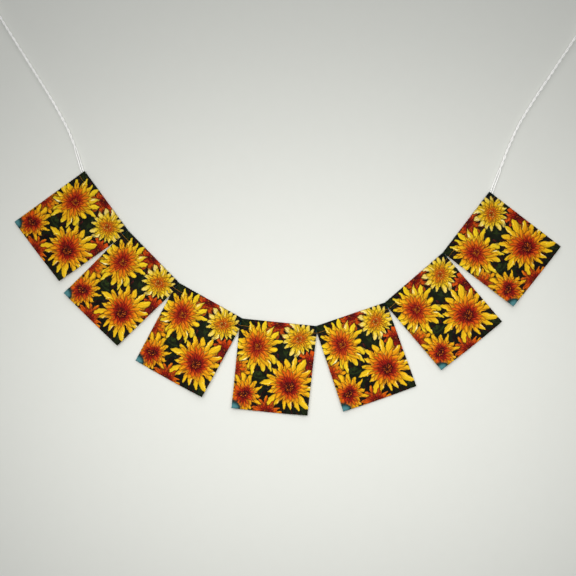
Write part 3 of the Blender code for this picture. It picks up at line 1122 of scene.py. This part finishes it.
def placed(points, place, angle):
    """Points of the knot's own frame in the row's frame."""
    turn = Quaternion((0.0, 1.0, 0.0), angle)
    return [turn @ Vector(point) + place for point in points]


def loop_path(place, angle):
    """The loop's line, up one side and down the other."""
    foot = KNOT_LENGTH + FACE_GAP
    sides = [(half, foot + reach) for reach, half in LOOP_OUTLINE]
    outline = [(-half, height) for half, height in sides]
    outline += [(0.0, foot + LOOP_LENGTH)] + sides[::-1]
    return placed([(across, 0.0, height) for across, height in outline], place, angle)


def knot_paths(place, angle, side):
    """The wraps with the cord's cut end, and the two legs of the loop that they hold."""
    wraps = []
    start = 0.0 if side > 0 else math.pi
    for k in range(WRAP_STEPS + 1):
        t = k / WRAP_STEPS
        turn = math.tau * WRAP_TURNS * t + start
        height = mix(*WRAP_HEIGHTS, t)
        wraps.append((WRAP_WIDTH * math.cos(turn), WRAP_DEPTH * math.sin(turn), height))
    wraps += [(side * 7.2, wraps[-1][1] * 0.4, -2.5), (side * 9.2, 0.0, -TAG_REACH + 0.4)]
    top = KNOT_LENGTH + FACE_GAP
    legs = [
        [(0.0, 0.0, -FACE_GAP), (-1.3, 0.0, 2.2), (-2.4, 0.0, 6.0), (-LEG_GAP, 0.0, top)],
        [(LEG_GAP, 0.0, top), (LEG_GAP, 0.0, 9.0), (2.4, 0.0, 3.2)],
    ]
    return [placed(points, place, angle) for points in [wraps] + legs]


class BUNTING_OT_stage(bpy.types.Operator):
    """Makes the pale wall and floor, the soft light and the camera"""

    bl_idname = "bunting.stage"
    bl_label = "Wall, light and camera"

    def execute(self, context):
        stage = context.scene.bunting_stage
        make_camera(stage)
        make_wall(stage)
        make_light(stage)
        return {"FINISHED"}


def make_camera(stage):
    data = bpy.data.cameras.new("camera")
    data.sensor_width = SENSOR_WIDTH
    data.lens = SENSOR_WIDTH * stage.camera_distance / PICTURE_WIDTH
    camera = add_object("camera", data)
    turn = math.radians(CAMERA_TURN)
    away = Vector((math.sin(turn), -math.cos(turn), 0.0))
    camera.location = on_wall(*PICTURE_CENTRE) + away * stage.camera_distance
    camera.rotation_euler = (-away).to_track_quat("-Z", "Y").to_euler()
    bpy.context.scene.camera = camera
    bpy.context.scene.view_settings.view_transform = "Standard"


def wall_material(stage):
    """Pale paint that shows to the camera, and from its front only."""
    wall_paint, add, shader = new_material("wall_paint")
    place = add.new("TexCoord", key="Object")
    bright = 1.0 - (add.noise(place, 60.0, 3.0) - 0.5) * WALL_SPECKLE
    tint = add.shaded(stage.wall_colour, bright)
    add.fill(shader, Base_Color=tint, Roughness=0.9, Specular_IOR_Level=0.1)
    clear = add.new("BsdfTransparent")
    front = 1.0 - add.new("NewGeometry", key="Backfacing")
    seen = front * add.new("LightPath", key="Is Camera Ray")
    both = add.new("MixShader", seen, clear, add.out(shader))
    output = [node for node in wall_paint.node_tree.nodes if node.type == "OUTPUT_MATERIAL"][0]
    add.feed(output.inputs[0], both)
    return wall_paint


def make_wall(stage):
    """A wall that curves forward into a floor far below the row."""
    depth = stage.wall_depth
    profile = [(depth, WALL_TOP), (depth, FLOOR_LEVEL + COVE)]
    for k in range(1, COVE_STEPS + 1):
        angle = math.pi / 2 * k / COVE_STEPS
        up = FLOOR_LEVEL + COVE * (1 - math.sin(angle))
        profile.append((depth - COVE * (1 - math.cos(angle)), up))
    profile.append((FLOOR_FRONT, FLOOR_LEVEL))
    model = bmesh.new()
    verts = [model.verts.new((WALL_LEFT, back, up)) for back, up in profile]
    edges = [model.edges.new(pair) for pair in zip(verts, verts[1:])]
    pulled = bmesh.ops.extrude_edge_only(model, edges=edges)["geom"]
    moved = [item for item in pulled if isinstance(item, bmesh.types.BMVert)]
    bmesh.ops.translate(model, vec=(WALL_LENGTH, 0.0, 0.0), verts=moved)
    for face in model.faces:
        if face.normal.y > 0 or face.normal.z < -0.5:
            face.normal_flip()
    mesh = smooth_mesh(model, "wall")
    mesh.materials.append(wall_material(stage))
    add_object("wall", mesh)


def make_light(stage):
    """Soft light from all round, two lamps in front and one behind the row."""
    world = bpy.data.worlds.new("room")
    world.use_nodes = True
    room = world.node_tree.nodes["Background"]
    room.inputs["Color"].default_value = (0.97, 0.985, 1.0, 1.0)
    room.inputs["Strength"].default_value = stage.sky
    bpy.context.scene.world = world
    centre = on_wall(*PICTURE_CENTRE)
    for name, place, aim, size, spread, share in LAMPS:
        data = bpy.data.lights.new(name, "AREA")
        data.shape = "RECTANGLE"
        data.size, data.size_y = size
        data.spread = math.radians(spread)
        data.energy = stage.lamp * share
        data.color = (1.0, 0.985, 0.95)
        lamp = add_object(name, data)
        lamp.location = centre + Vector(place)
        facing = centre + on_wall(place[0], aim) - lamp.location
        lamp.rotation_euler = facing.to_track_quat("-Z", "Y").to_euler()


class BUNTING_OT_cord(bpy.types.Operator):
    """Makes the twisted cord that runs through all the hems"""

    bl_idname = "bunting.cord"
    bl_label = "Cord"

    def execute(self, context):
        cotton = cord_material()
        lengths = line_lengths(ROUTE)
        whole = lengths[-1]
        first, last = CORNERS[0].x, CORNERS[-1].x
        outside = [length for length, point in zip(lengths, ROUTE) if not first < point.x < last]
        hems = (
            max(length for length in outside if length < whole / 2),
            min(length for length in outside if length > whole / 2),
        )
        mesh = strands([ROUTE], "twisted_cord", cotton, hems)
        piece = add_piece("twisted_cord", mesh, "cord", "cord")
        [value * MM for value in ROUTE[0]]
        [[value * MM for value in point] for point in ROUTE]
        make_ends(cotton)
        return {"FINISHED"}


def make_ends(cotton):
    """The knots and loops at the cord's two ends."""
    made = []
    for side_name, route, side in (("left", ROUTE[::-1], -1), ("right", ROUTE, 1)):
        place, angle = end_place(route)
        for kind, node, paths in (
            ("_tied_knot", "_knot", knot_paths(place, angle, side)),
            ("_twisted_loop", "_loop", [loop_path(place, angle)]),
        ):
            mesh = strands(paths, side_name + kind, cotton)
            made.append(add_piece(side_name + kind, mesh, "cord", side_name + node))
    return made


class BUNTING_OT_flags(bpy.types.Operator):
    """Makes the printed flags with their hems"""

    bl_idname = "bunting.flags"
    bl_label = "Flags"

    def execute(self, context):
        materials = cloth_materials()
        for number in range(len(FLAGS)):
            name = f"cloth_{number + 1}"
            piece = add_piece(name, flag_mesh(name, number), "printed_cloth", f"flag_{number + 1}")
            for material in materials:
                piece.data.materials.append(material)
            shell = piece.modifiers.new("cloth thickness", "SOLIDIFY")
            shell.thickness = context.scene.bunting_cloth.thickness
            shell.offset = 0.0
            shell.use_even_offset = True
            shell.material_offset = 1
            shell.material_offset_rim = 2
        return {"FINISHED"}


class BUNTING_PT_panel(bpy.types.Panel):
    """Lists the steps that make the bunting"""

    bl_label = "Fabric bunting"
    bl_idname = "BUNTING_PT_panel"
    bl_space_type = "VIEW_3D"
    bl_region_type = "UI"
    bl_category = "Bunting"

    def draw(self, context):
        for step in STEPS:
            self.layout.operator(step.bl_idname)
        for name in SETTINGS:
            settings = getattr(context.scene, name)
            box = self.layout.box()
            for entry in settings.bl_rna.properties:
                if entry.identifier not in ("rna_type", "name"):
                    box.prop(settings, entry.identifier)


SETTINGS = {
    "bunting_cloth": BuntingClothSettings,
    "bunting_cord": BuntingCordSettings,
    "bunting_stage": BuntingStageSettings,
}
STEPS = (BUNTING_OT_stage, BUNTING_OT_cord, BUNTING_OT_flags)
CLASSES = (*SETTINGS.values(), *STEPS, BUNTING_PT_panel)


def register():
    for entry in CLASSES:
        bpy.utils.register_class(entry)
    for name, settings in SETTINGS.items():
        setattr(bpy.types.Scene, name, PointerProperty(type=settings))


def unregister():
    for name in SETTINGS:
        delattr(bpy.types.Scene, name)
    for entry in reversed(CLASSES):
        bpy.utils.unregister_class(entry)


def main():
    register()
    bpy.ops.bunting.stage()
    bpy.ops.bunting.cord()
    bpy.ops.bunting.flags()


if __name__ == "__main__":
    main()
